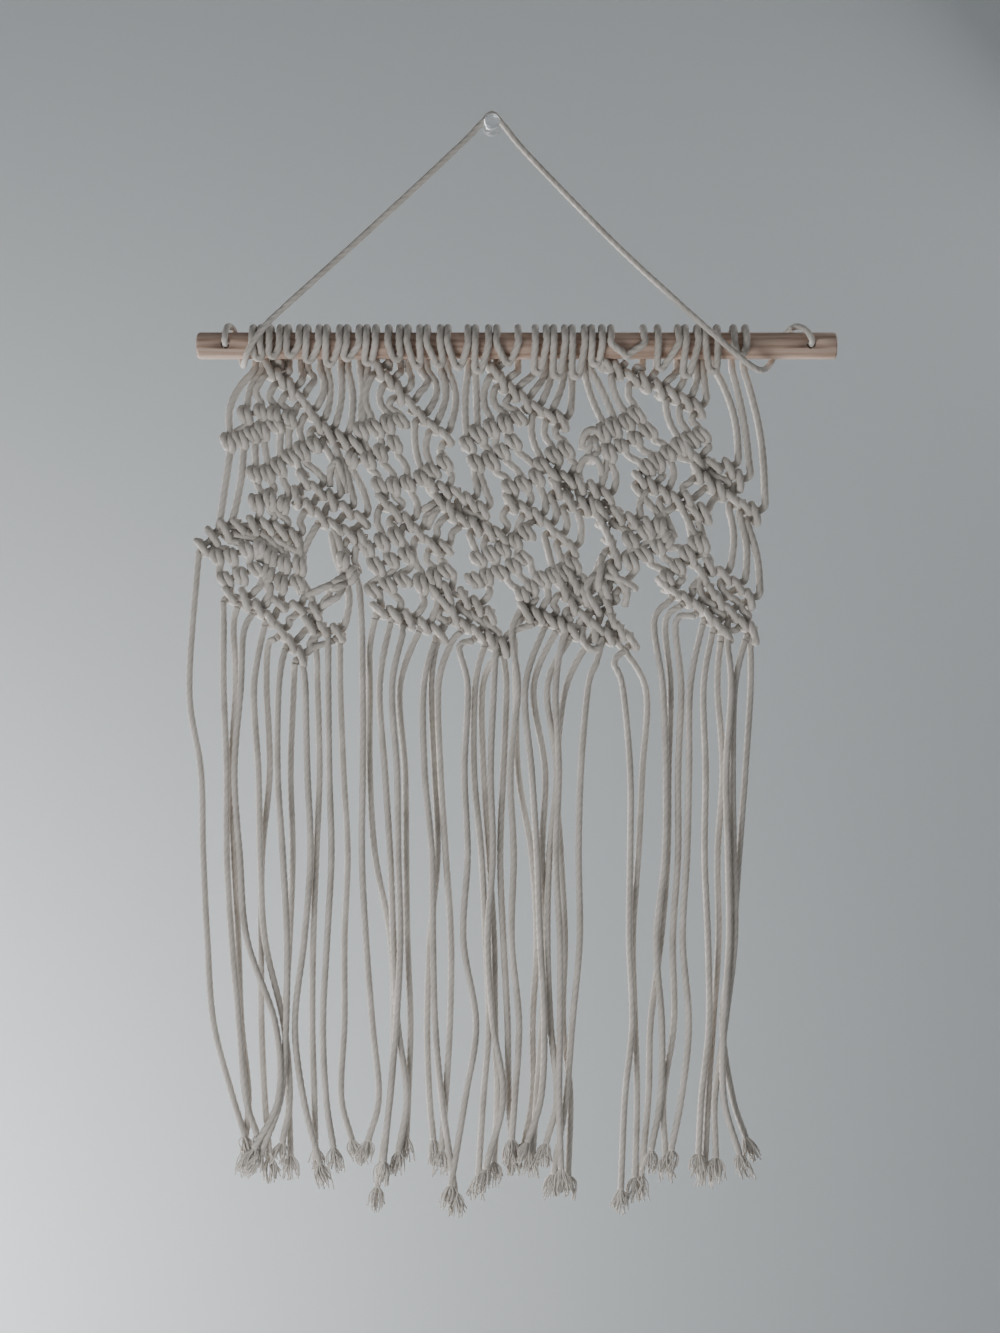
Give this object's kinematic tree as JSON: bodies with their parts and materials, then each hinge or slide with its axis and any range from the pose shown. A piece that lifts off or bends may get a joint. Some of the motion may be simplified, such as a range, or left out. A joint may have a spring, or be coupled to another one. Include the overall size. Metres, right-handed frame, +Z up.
{
  "type": "macrame wall hanging on a wooden dowel with a push pin",
  "caption": "Knotted cotton wall hanging: diagonal hitch rows and leaf gaps below lark's head knots on a wooden dowel, a long fringe, and a cord over a wall pin.",
  "frame": {"origin": "centre of the pin's flat back, on the wall", "axes": "+Z up, +Y into the wall, +X to the right seen from the front"},
  "size_m": [0.3069, 0.0252, 0.5263],
  "materials": {
    "pale_wood": "plain dry sanded wood",
    "clear_plastic": "clear polished plastic",
    "natural_cotton": "matt twisted natural cotton cord"
  },
  "bodies": {
    "root": {"dowel": "pale_wood", "wall_pin": "clear_plastic", "hanger_cord": "natural_cotton", "lark_knot_01": "natural_cotton", "lark_knot_02": "natural_cotton", "lark_knot_03": "natural_cotton", "lark_knot_04": "natural_cotton", "lark_knot_05": "natural_cotton", "lark_knot_06": "natural_cotton", "lark_knot_07": "natural_cotton", "lark_knot_08": "natural_cotton", "lark_knot_09": "natural_cotton", "lark_knot_10": "natural_cotton", "lark_knot_11": "natural_cotton", "lark_knot_12": "natural_cotton", "lark_knot_13": "natural_cotton", "lark_knot_14": "natural_cotton", "lark_knot_15": "natural_cotton", "lark_knot_16": "natural_cotton", "lark_knot_17": "natural_cotton", "lark_knot_18": "natural_cotton", "lark_knot_19": "natural_cotton", "lark_knot_20": "natural_cotton", "lark_knot_21": "natural_cotton", "lark_knot_22": "natural_cotton", "knotted_panel": "natural_cotton", "fringe": "natural_cotton"}
  },
  "joints": []
}
